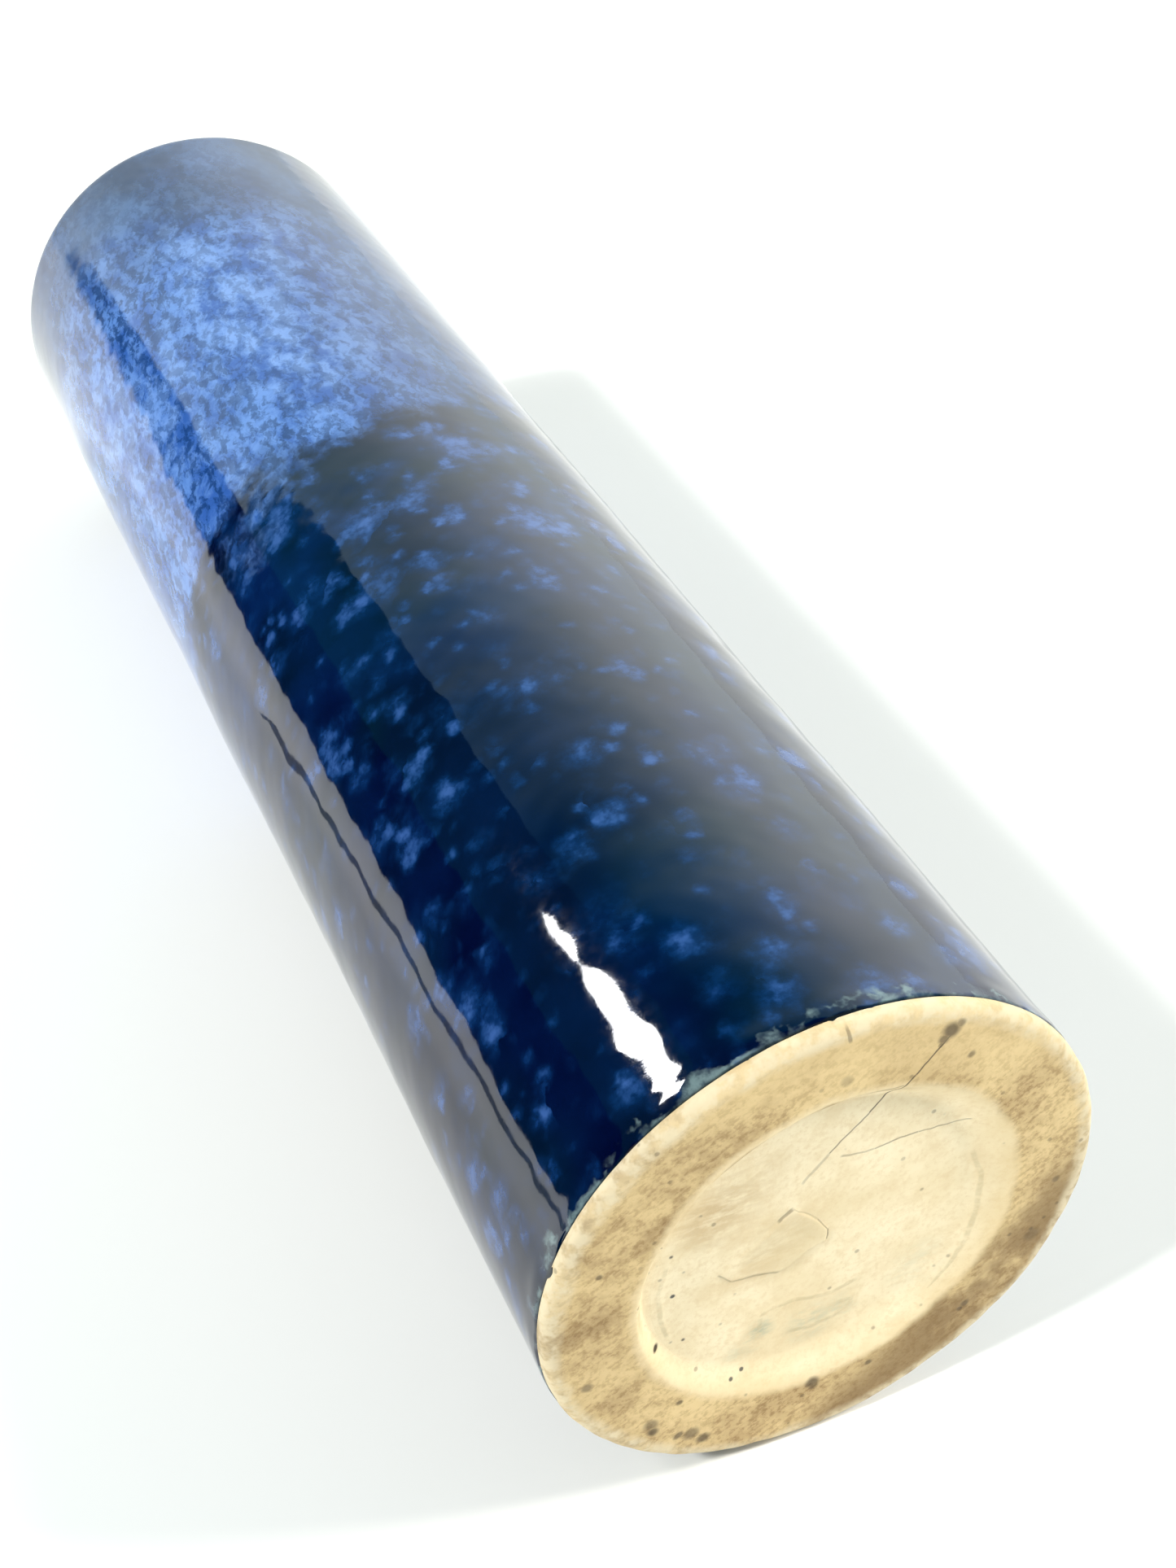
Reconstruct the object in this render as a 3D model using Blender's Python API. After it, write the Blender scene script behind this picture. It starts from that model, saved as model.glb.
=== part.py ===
"""A tall cylinder vase in glazed stoneware, lying on its side.

Metres, +Z up. The vase's axis runs along Y: the foot faces -Y and the mouth
faces +Y. The origin is on the surface that the vase lies on, under the middle
of its length.
"""

import math

import bmesh
import bpy

# Driving dimensions
DIAMETER = 0.070
LENGTH = 0.258
CLAY_WALL = 0.0050
GLAZE = 0.0007
LINER = 0.0005
GAP = 0.0003

# The foot: a flat ring of bare clay with a shallow recess inside it
FOOT_THICKNESS = 0.0075
FOOT_INSET = 0.0002
FOOT_EDGE_REACH = 0.0022
FOOT_EDGE_RISE = 0.0012
GLAZE_START = 0.0018
RECESS_RADIUS = 0.0234
RECESS_EDGE_ROUND = 0.0006
RECESS_DEPTH = 0.0015

# The mouth and the inside
LIP_ROUND = 0.0021
LIP_OVERLAP = 0.0060
FLOOR_FILLET = 0.0060

# Facets round the axis. A multiple of four puts a flat one at the very bottom,
# and it is wide enough for the vase to lie still on a surface that isn't quite level.
SIDES = 32
ARC_STEPS = 4
SHARP_ANGLE = math.radians(35)

RADIUS = DIAMETER / 2
CLAY_RADIUS = RADIUS - GLAZE - GAP
BORE_RADIUS = CLAY_RADIUS - CLAY_WALL
CLAY_TOP = LENGTH - GLAZE - GAP


def arc(centre_r, centre_y, radius, start_deg, end_deg, rise=None):
    """Points of a profile arc, where 0 degrees is outward and 90 is towards the mouth.

    rise is the arc's radius along the vase, where it isn't the same as across it.
    """
    along = radius if rise is None else rise
    points = []
    for step in range(ARC_STEPS + 1):
        angle = math.radians(start_deg + (end_deg - start_deg) * step / ARC_STEPS)
        points.append((centre_r + radius * math.cos(angle), centre_y + along * math.sin(angle)))
    return points


def material(name, colour, roughness):
    made = bpy.data.materials.new(name)
    made.use_nodes = True
    shader = made.node_tree.nodes["Principled BSDF"]
    shader.inputs["Base Color"].default_value = (*colour, 1.0)
    shader.inputs["Roughness"].default_value = roughness
    shader.inputs["Metallic"].default_value = 0.0
    made.diffuse_color = (*colour, 1.0)
    return made


def turned(name, profile, finish, closed=True):
    """One solid of revolution about the vase's axis.

    The profile's points are (radius, distance from the foot plane). A closed
    profile goes all the way round a ring's section. An open one starts and
    ends on the axis. The radii are those of the flats, not of the corners.
    """
    half_facet = math.pi / SIDES
    out_x = math.cos(half_facet)
    out_z = math.sin(half_facet)
    mesh = bpy.data.meshes.new(name)
    shape = bmesh.new()
    verts = []
    for radius, along in profile:
        corner = radius / math.cos(half_facet)
        verts.append(shape.verts.new((corner * out_x, along - LENGTH / 2, corner * out_z)))
    edges = [shape.edges.new(pair) for pair in zip(verts, verts[1:])]
    if closed:
        edges.append(shape.edges.new((verts[-1], verts[0])))
    bmesh.ops.spin(
        shape,
        geom=verts + edges,
        cent=(0, 0, 0),
        axis=(0, 1, 0),
        angle=math.tau,
        steps=SIDES,
        use_merge=True,
    )
    bmesh.ops.remove_doubles(shape, verts=shape.verts, dist=1e-6)
    bmesh.ops.recalc_face_normals(shape, faces=shape.faces)
    shape.to_mesh(mesh)
    shape.free()
    mesh.shade_smooth()
    mesh.set_sharp_from_angle(angle=SHARP_ANGLE)
    mesh.materials.append(finish)
    piece = bpy.data.objects.new(name, mesh)
    piece.location = (0, 0, RADIUS)
    bpy.context.scene.collection.objects.link(piece)
    return piece


def clay_wall(finish):
    """The clay tube, with the foot ring turned inward at its closed end."""
    foot_radius = RADIUS - FOOT_INSET
    edge = RECESS_RADIUS + RECESS_EDGE_ROUND
    flat_end = foot_radius - FOOT_EDGE_REACH
    profile = arc(edge, RECESS_EDGE_ROUND, RECESS_EDGE_ROUND, 180, 270)
    profile += arc(flat_end, FOOT_EDGE_RISE, FOOT_EDGE_REACH, 270, 360, rise=FOOT_EDGE_RISE)
    profile += [(foot_radius, GLAZE_START - GAP), (CLAY_RADIUS, GLAZE_START - GAP)]
    profile += arc(CLAY_RADIUS - LIP_ROUND, CLAY_TOP - LIP_ROUND, LIP_ROUND, 0, 90)
    profile += arc(BORE_RADIUS + LIP_ROUND, CLAY_TOP - LIP_ROUND, LIP_ROUND, 90, 180)
    fillet_r = BORE_RADIUS - FLOOR_FILLET
    profile += arc(fillet_r, FOOT_THICKNESS + FLOOR_FILLET, FLOOR_FILLET, 360, 270)
    profile += [(RECESS_RADIUS, FOOT_THICKNESS)]
    return turned("clay_wall", profile, finish)


def base_disc(finish):
    """The clay slab that closes the foot, set back from the foot ring."""
    radius = RECESS_RADIUS - GAP
    profile = [(0, RECESS_DEPTH), (radius, RECESS_DEPTH), (radius, FOOT_THICKNESS), (0, FOOT_THICKNESS)]
    return turned("base_disc", profile, finish, closed=False)


def outer_glaze(finish):
    """The coat on the outside, which also rolls over the lip."""
    outer_r = CLAY_RADIUS - LIP_ROUND
    inner_r = BORE_RADIUS + LIP_ROUND
    centre_y = CLAY_TOP - LIP_ROUND
    near = LIP_ROUND + GAP
    far = near + GLAZE
    end_y = CLAY_TOP - LIP_OVERLAP
    profile = [(CLAY_RADIUS + GAP, GLAZE_START), (RADIUS, GLAZE_START)]
    profile += arc(outer_r, centre_y, far, 0, 90)
    profile += arc(inner_r, centre_y, far, 90, 180)
    profile += [(inner_r - far, end_y), (inner_r - near, end_y)]
    profile += arc(inner_r, centre_y, near, 180, 90)
    profile += arc(outer_r, centre_y, near, 90, 0)
    return turned("outer_glaze", profile, finish)


def liner_glaze(finish):
    """The coat on the inside wall and floor, open at the mouth."""
    outer = BORE_RADIUS - GAP
    inner = outer - LINER
    under = FOOT_THICKNESS + GAP
    top = CLAY_TOP - LIP_OVERLAP - GAP
    fillet_r = BORE_RADIUS - FLOOR_FILLET
    fillet_y = FOOT_THICKNESS + FLOOR_FILLET
    profile = [(0, under)]
    profile += arc(fillet_r, fillet_y, FLOOR_FILLET - GAP, 270, 360)
    profile += [(outer, top), (inner, top)]
    profile += arc(fillet_r, fillet_y, FLOOR_FILLET - GAP - LINER, 360, 270)
    profile += [(0, under + LINER)]
    return turned("liner_glaze", profile, finish, closed=False)


def main():
    for obj in list(bpy.data.objects):
        bpy.data.objects.remove(obj, do_unlink=True)
    clay = material("bare_clay", (0.62, 0.50, 0.33), 0.85)
    floor_clay = material("recess_clay", (0.78, 0.68, 0.50), 0.85)
    glaze = material("cobalt_glaze", (0.030, 0.070, 0.260), 0.08)
    liner = material("liner_glaze", (0.035, 0.060, 0.160), 0.12)
    clay_wall(clay)
    base_disc(floor_clay)
    outer_glaze(glaze)
    liner_glaze(liner)


main()
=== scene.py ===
"""Looks for the glazed stoneware cylinder vase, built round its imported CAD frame.

The row frame: metres, +Z up, the vase's axis along Y with the foot facing -Y,
and the surface that it lies on at Z = 0.
"""

import math

import bpy
import numpy as np
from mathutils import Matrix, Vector

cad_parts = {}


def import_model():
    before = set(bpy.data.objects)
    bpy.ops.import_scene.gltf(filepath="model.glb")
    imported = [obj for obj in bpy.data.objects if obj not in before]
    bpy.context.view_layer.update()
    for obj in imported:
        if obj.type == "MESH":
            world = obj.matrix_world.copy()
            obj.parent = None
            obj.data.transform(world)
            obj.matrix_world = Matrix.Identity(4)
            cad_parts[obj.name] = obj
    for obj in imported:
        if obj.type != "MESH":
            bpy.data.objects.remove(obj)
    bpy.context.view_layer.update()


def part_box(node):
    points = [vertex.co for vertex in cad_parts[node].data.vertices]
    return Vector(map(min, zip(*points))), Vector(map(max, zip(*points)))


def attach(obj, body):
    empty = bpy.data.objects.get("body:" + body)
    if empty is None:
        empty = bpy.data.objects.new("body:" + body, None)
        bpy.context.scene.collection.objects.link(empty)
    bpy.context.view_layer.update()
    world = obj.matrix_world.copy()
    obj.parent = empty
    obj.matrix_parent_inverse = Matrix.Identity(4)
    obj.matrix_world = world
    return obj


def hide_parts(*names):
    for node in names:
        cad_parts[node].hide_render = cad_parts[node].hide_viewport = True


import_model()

MM = 0.001
TAU = math.tau

# The vase's measures, read from the frame
COAT_LOW, COAT_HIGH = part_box("outer_glaze")
WALL_LOW, WALL_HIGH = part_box("clay_wall")
DISC_LOW, DISC_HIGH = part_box("base_disc")
LINER_LOW, LINER_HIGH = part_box("liner_glaze")
FOOT_Y = WALL_LOW.y
MOUTH_Y = COAT_HIGH.y
LENGTH = MOUTH_Y - FOOT_Y
RADIUS = (COAT_HIGH.z - COAT_LOW.z) / 2
AXIS_Z = (COAT_HIGH.z + COAT_LOW.z) / 2
FOOT_RADIUS = (WALL_HIGH.z - WALL_LOW.z) / 2
DISC_RADIUS = (DISC_HIGH.z - DISC_LOW.z) / 2
LINER_RADIUS = (LINER_HIGH.z - LINER_LOW.z) / 2

# Distances from the foot plane, along the axis
RECESS = DISC_LOW.y - FOOT_Y
FLOOR_TOP = DISC_HIGH.y - FOOT_Y
COAT_START = COAT_LOW.y - FOOT_Y
LINER_START = LINER_LOW.y - FOOT_Y
LINER_TOP = LINER_HIGH.y - FOOT_Y
CLAY_TOP = WALL_HIGH.y - FOOT_Y

# Thicknesses and rounds that the boxes don't give
COAT = 0.7 * MM
LINER = 0.5 * MM
GAP = 0.3 * MM
CLAY_RADIUS = RADIUS - COAT - GAP
BORE_RADIUS = LINER_RADIUS + GAP
LIP_ROUND = 2.1 * MM
FLOOR_FILLET = 6.0 * MM

# Where the disc's face stops and the foot ring's takes over
SEAM_RADIUS = DISC_RADIUS - 1.5 * MM


# ---------------------------------------------------------------- meshes


def ripples(angle, along, wavelength, seed, count=70):
    """A smooth random height of unit rms on a cylinder, from waves that close round it."""
    rng = np.random.default_rng(seed)
    field = np.zeros(np.broadcast(angle, along).shape)
    for _ in range(count):
        number = TAU / (wavelength * 1.6 ** rng.uniform(-1, 1))
        heading = rng.uniform(0, TAU)
        turns = round(RADIUS * number * math.cos(heading))
        rate = number * math.sin(heading)
        field += np.cos(turns * angle + rate * along + rng.uniform(0, TAU))
    return field * math.sqrt(2 / count)


def swells(x, z, wavelength, seed, count=30):
    """A smooth random height of unit rms on the foot's plane."""
    rng = np.random.default_rng(seed)
    field = np.zeros(np.broadcast(x, z).shape)
    for _ in range(count):
        number = TAU / (wavelength * 1.6 ** rng.uniform(-1, 1))
        heading = rng.uniform(0, TAU)
        field += np.cos(number * (math.cos(heading) * x + math.sin(heading) * z) + rng.uniform(0, TAU))
    return field * math.sqrt(2 / count)


def ease(value, low, high):
    """0 below low, 1 above high, and a smooth step between them."""
    t = np.clip((value - low) / (high - low), 0, 1)
    return t * t * (3 - 2 * t)


def line(start, end, count):
    """count points from start up to, but not including, end."""
    steps = np.linspace(0, 1, count, endpoint=False)[:, None]
    return np.array(start) + (np.array(end) - np.array(start)) * steps


def arc(centre, radius, start, end, count, rise=None):
    """Profile points on an arc. Degrees: 0 is outward from the axis, 90 is towards the mouth."""
    angle = np.radians(np.linspace(start, end, count))
    across = centre[0] + radius * np.cos(angle)
    along = centre[1] + (rise or radius) * np.sin(angle)
    return np.stack([across, along], axis=1)


def mesh_object(name, verts, faces, material):
    """A new object in the scene, with one mesh and one material."""
    mesh = bpy.data.meshes.new(name)
    mesh.from_pydata(verts, [], faces)
    mesh.materials.append(material)
    made = bpy.data.objects.new(name, mesh)
    bpy.context.scene.collection.objects.link(made)
    return made


def turned(name, profile, columns, shaped, material, stands_for, ring=True):
    """A piece turned from a profile of (radius, distance from the foot), then shaped.

    shaped(radius, along, angle) returns the changed radius and distance. The
    angle is 0 at the top and grows towards +X. A ring's profile closes on
    itself. Any other profile starts and ends on the axis.
    """
    angle = np.linspace(0, TAU, columns, endpoint=False)[None, :]
    radius = np.repeat(profile[:, :1], columns, axis=1)
    along = np.repeat(profile[:, 1:], columns, axis=1)
    radius, along = shaped(radius, along, np.repeat(angle, len(profile), axis=0))
    points = np.stack([radius * np.sin(angle), FOOT_Y + along, AXIS_Z + radius * np.cos(angle)], axis=2)
    rows = len(profile)
    index = np.arange(rows * columns).reshape(rows, columns)
    after = np.roll(index, -1, axis=1)
    faces = []
    for row in range(rows if ring else rows - 1):
        upper = (row + 1) % rows
        faces.append(np.stack([index[row], index[upper], after[upper], after[row]], axis=1))
    faces = [tuple(face) for face in np.concatenate(faces).tolist()]
    verts = points.reshape(-1, 3)
    if not ring:
        poles = [points[row].mean(axis=0) for row in (0, rows - 1)]
        first, final = len(verts), len(verts) + 1
        verts = np.concatenate([verts, poles])
        faces += [(first, a, b) for a, b in zip(index[0].tolist(), after[0].tolist())]
        faces += [(final, b, a) for a, b in zip(index[-1].tolist(), after[-1].tolist())]
    piece = mesh_object(name, verts.tolist(), faces, material)
    piece.data.shade_smooth()
    piece.data.set_sharp_from_angle(angle=math.radians(50))
    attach(piece, "root")
    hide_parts(stands_for)
    return piece


def glaze_coat(material):
    """The outer coat: rippled, thicker in a soft bead at the foot, with a wavy lower edge."""
    lip_y = CLAY_TOP - LIP_ROUND
    outer_r, inner_r = CLAY_RADIUS - LIP_ROUND, BORE_RADIUS + LIP_ROUND
    near, far = LIP_ROUND + GAP, LIP_ROUND + GAP + COAT
    edge_round = 0.40 * MM
    bead_top = COAT_START + 6 * MM
    inner_end = LINER_TOP + GAP / 2
    back = CLAY_RADIUS + 0.1 * MM
    profile = np.concatenate([
        arc((RADIUS - edge_round, COAT_START + edge_round), edge_round, -90, 0, 6),
        line((RADIUS, COAT_START + 0.6 * MM), (RADIUS, bead_top), 16),
        line((RADIUS, bead_top), (RADIUS, lip_y), 320),
        arc((outer_r, lip_y), far, 0, 90, 12),
        arc((inner_r, lip_y), far, 90, 180, 10),
        line((inner_r - far, lip_y - 0.6 * MM), (inner_r - far, inner_end), 6),
        line((inner_r - near, inner_end), (inner_r - near, lip_y), 2),
        arc((inner_r, lip_y), near, 180, 90, 4),
        arc((outer_r, lip_y), near, 90, 0, 4),
        line((back, lip_y - 1 * MM), (back, COAT_START), 3),
    ])

    def shaped(radius, along, angle):
        shown = ease(radius, back, RADIUS - edge_round)
        # The middle ripples are stronger in the lower half, where the glaze ran more
        lively = 1.6 - ease(along, 0.35 * LENGTH, 0.60 * LENGTH)
        lift = 0.0045 * MM * ripples(angle, along, 5 * MM, 11)
        lift += 0.0120 * MM * lively * ripples(angle, along, 14 * MM, 12)
        lift += 0.0550 * MM * ripples(angle, along, 60 * MM, 13)
        bead = np.exp(-(((along - COAT_START - 1.6 * MM) / (1.5 * MM)) ** 2))
        lift += 0.06 * MM * bead * (1 + 0.6 * ripples(angle, 0 * along, 9 * MM, 14))
        inset = 0.16 * MM
        low_edge = 1 - ease(along, COAT_START, COAT_START + 3 * MM)
        drop = 0.16 * MM * ripples(angle, 0 * along, 8 * MM, 15)
        drop += 0.08 * MM * ripples(angle, 0 * along, 3 * MM, 16)
        return radius + (lift - inset) * shown, along + drop * low_edge

    return turned("glaze_coat", profile, 384, shaped, material, "outer_glaze")


# Soft hollows and swells on the recess floor, in radii from its centre: x, z, half sizes, depth in mm
HOLLOWS = (
    (-0.30, 0.32, 0.16, 0.10, 0.07),
    (0.26, 0.02, 0.22, 0.30, -0.06),
    (0.05, 0.44, 0.30, 0.05, 0.05),
    (0.03, -0.36, 0.16, 0.05, 0.05),
)
# The outline of a thin flake of slip that stands proud of the recess floor, in radii
FLAKE = (
    (-0.375, 0.0), (-0.30, 0.06), (-0.20, 0.13), (-0.125, 0.20), (-0.03, 0.10), (0.01, 0.04),
    (0.008, -0.02), (-0.06, -0.04), (-0.15, -0.095), (-0.25, -0.06), (-0.33, -0.055),
)
# Trails left by a wet finger: their points in radii, width in mm and height in mm
LOOP_TRAIL = (
    (-0.213, -0.36), (-0.215, -0.30), (-0.19, -0.275), (-0.085, -0.275), (0.05, -0.31), (0.14, -0.28),
)
HOOK_TRAIL = ((-0.10, -0.43), (-0.03, -0.45), (0.06, -0.44), (0.13, -0.405), (0.13, -0.375), (0.08, -0.37))
RIGHT_TRAIL = ((0.53, 0.17), (0.575, 0.05), (0.58, -0.10), (0.55, -0.25), (0.49, -0.38), (0.42, -0.47))
LEFT_TRAIL = ((-0.565, 0.12), (-0.585, 0.0), (-0.58, -0.12), (-0.55, -0.22))
TOP_TRAIL = ((0.0, 0.38), (0.10, 0.41), (0.25, 0.44), (0.40, 0.42))
STAINED_TRAILS = (
    (LOOP_TRAIL, 0.5, 0.06),
    (HOOK_TRAIL, 0.5, 0.07),
    (RIGHT_TRAIL, 0.5, 0.05),
    (LEFT_TRAIL, 0.4, 0.04),
)
TRAILS = STAINED_TRAILS + ((TOP_TRAIL, 0.6, 0.05),)

# The recess's wall, in radii: where it starts and ends, on its soft side and on its steep side
WALL_START, WALL_START_STEEP = 0.500, 0.656
WALL_END, WALL_END_STEEP = 0.715, 0.677


def path_distance(x, z, points):
    """Distance from (x, z) to the line through the points, which are in radii."""
    nearest = np.full(np.broadcast(x, z).shape, 1.0)
    for start, end in zip(points, points[1:]):
        ax, az = start[0] * RADIUS, start[1] * RADIUS
        wx, wz = end[0] * RADIUS - ax, end[1] * RADIUS - az
        t = np.clip(((x - ax) * wx + (z - az) * wz) / (wx * wx + wz * wz), 0, 1)
        nearest = np.minimum(nearest, np.hypot(x - ax - t * wx, z - az - t * wz))
    return nearest


def inside_outline(x, z, points):
    """True where (x, z) is inside the closed outline through the points, which are in radii."""
    inside = np.zeros(np.broadcast(x, z).shape, dtype=bool)
    for start, end in zip(points, points[1:] + points[:1]):
        ax, az, bx, bz = (RADIUS * value for value in (*start, *end))
        crosses = (az > z) != (bz > z)
        inside ^= crosses & (x < ax + (z - az) * (bx - ax) / (bz - az + 1e-12))
    return inside


def foot_height(x, z):
    """The foot's surface: how far it lies behind the foot plane at (x, z) from the axis."""
    radius, angle = np.hypot(x, z), np.arctan2(x, z)
    # The recess's wall is steep at the upper left and a long soft slope at the lower right
    steep = 0.5 + 0.5 * np.cos(angle + math.radians(52))
    start = RADIUS * (WALL_START + (WALL_START_STEEP - WALL_START) * steep)
    end = RADIUS * (WALL_END + (WALL_END_STEEP - WALL_END) * steep)
    start += 0.15 * MM * np.sin(3 * angle + 1)
    end += 0.15 * MM * np.sin(2 * angle)
    height = RECESS * (1 - ease(radius, start, end))
    for px, pz, rx, rz, depth in HOLLOWS:
        reach = ((x / RADIUS - px) / rx) ** 2 + ((z / RADIUS - pz) / rz) ** 2
        height += depth * MM * np.exp(-(reach**2))
    for points, width, rise in TRAILS:
        height -= rise * MM * np.exp(-((path_distance(x, z, points) / (width * MM)) ** 2))
    # The flake is thickest at its rim
    signed = path_distance(x, z, FLAKE + FLAKE[:1]) * np.where(inside_outline(x, z, FLAKE), 1, -1)
    flake = ease(signed, -0.15 * MM, 0.25 * MM)
    height -= 0.22 * MM * flake * (1 - 0.6 * ease(signed, 0.3 * MM, 3 * MM))
    height += 0.035 * MM * swells(x, z, 22 * MM, 21)
    height += 0.010 * MM * swells(x, z, 5 * MM, 22)
    return height


def clay_body(material):
    """The bare foot ring, softly worn at its edge, and the hidden clay wall behind the glaze."""
    reach, rise = 1.5 * MM, 1.1 * MM
    shoulder = COAT_START - 0.1 * MM
    outer_r, inner_r = CLAY_RADIUS - LIP_ROUND, BORE_RADIUS + LIP_ROUND
    lip_y = CLAY_TOP - LIP_ROUND
    hidden_r = DISC_RADIUS + 0.5 * MM
    profile = np.concatenate([
        [(SEAM_RADIUS, RECESS + 1.0 * MM)],
        line((SEAM_RADIUS, 0), (FOOT_RADIUS - reach, 0), 66),
        arc((FOOT_RADIUS - reach, rise), reach, 270, 360, 14, rise),
        line((FOOT_RADIUS, rise + 0.1 * MM), (FOOT_RADIUS, shoulder), 3),
        line((FOOT_RADIUS, shoulder), (CLAY_RADIUS, shoulder + 0.05 * MM), 2),
        line((CLAY_RADIUS, shoulder + 0.4 * MM), (CLAY_RADIUS, lip_y), 4),
        arc((outer_r, lip_y), LIP_ROUND, 0, 90, 5),
        arc((inner_r, lip_y), LIP_ROUND, 90, 180, 5),
        arc((BORE_RADIUS - FLOOR_FILLET, FLOOR_TOP + FLOOR_FILLET), FLOOR_FILLET, 360, 270, 5),
        line((hidden_r, FLOOR_TOP), (hidden_r, RECESS + 2.5 * MM), 2),
    ])

    def shaped(radius, along, angle):
        x, z = radius * np.sin(angle), radius * np.cos(angle)
        face = 1 - ease(along, 0.5 * MM, 1.2 * MM)
        edge = ease(radius, FOOT_RADIUS - 2.5 * MM, FOOT_RADIUS) * (1 - ease(along, 1.4 * MM, 1.8 * MM))
        worn = 0.08 * MM * ripples(angle, 0 * radius, 24 * MM, 23)
        worn += 0.04 * MM * ripples(angle, 0 * radius, 5 * MM, 24)
        inset = 0.1 * MM
        return radius + (worn - inset) * edge, along + foot_height(x, z) * face

    return turned("clay_body", profile, 400, shaped, material, "clay_wall")


def recess_disc(material):
    """The slab inside the foot ring, whose face runs on smoothly into the ring's."""
    radius = DISC_RADIUS - 0.2 * MM
    innermost = 0.25 * MM
    top = FLOOR_TOP - 0.1 * MM
    profile = np.concatenate([
        line((innermost, 0), (radius, 0), 84),
        line((radius, RECESS + 0.4 * MM), (radius, top), 2),
        line((radius, top), (innermost, top), 3),
        [(innermost, top)],
    ])

    def shaped(radius_now, along, angle):
        x, z = radius_now * np.sin(angle), radius_now * np.cos(angle)
        face = along < RECESS / 2
        # Its rim is tucked behind the ring's face
        tucked = 0.12 * MM * ease(radius_now, SEAM_RADIUS, SEAM_RADIUS + 0.6 * MM)
        return radius_now, along + (foot_height(x, z) + tucked) * face

    return turned("recess_disc", profile, 320, shaped, material, "base_disc", ring=False)


def liner_coat(material):
    """The inside coat, one cup with a filleted floor."""
    outer, inner = LINER_RADIUS, LINER_RADIUS - LINER
    fillet_r, fillet_y = BORE_RADIUS - FLOOR_FILLET, LINER_START + FLOOR_FILLET - GAP
    innermost = 0.5 * MM
    inner_floor = LINER_START + LINER
    profile = np.concatenate([
        line((innermost, LINER_START), (fillet_r, LINER_START), 2),
        arc((fillet_r, fillet_y), FLOOR_FILLET - GAP, 270, 360, 6),
        line((outer, fillet_y + 1 * MM), (outer, LINER_TOP), 2),
        line((outer, LINER_TOP), (inner, LINER_TOP), 2),
        line((inner, LINER_TOP), (inner, fillet_y), 120),
        arc((fillet_r, fillet_y), FLOOR_FILLET - GAP - LINER, 360, 270, 9),
        line((fillet_r - 0.5 * MM, inner_floor), (innermost, inner_floor), 12),
        [(innermost, inner_floor)],
    ])

    def shaped(radius, along, angle):
        inside = ease(outer - radius, 0.2 * MM, 0.4 * MM)
        shown = inside * ease(along, LINER_START + 0.2 * MM, LINER_START + 12 * MM)
        lift = 0.03 * MM * ripples(angle, along, 16 * MM, 41)
        lift += 0.010 * MM * ripples(angle, along, 6 * MM, 42)
        return radius + lift * shown, along

    return turned("liner_coat", profile, 192, shaped, material, "liner_glaze", ring=False)


# ---------------------------------------------------------------- materials


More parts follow.
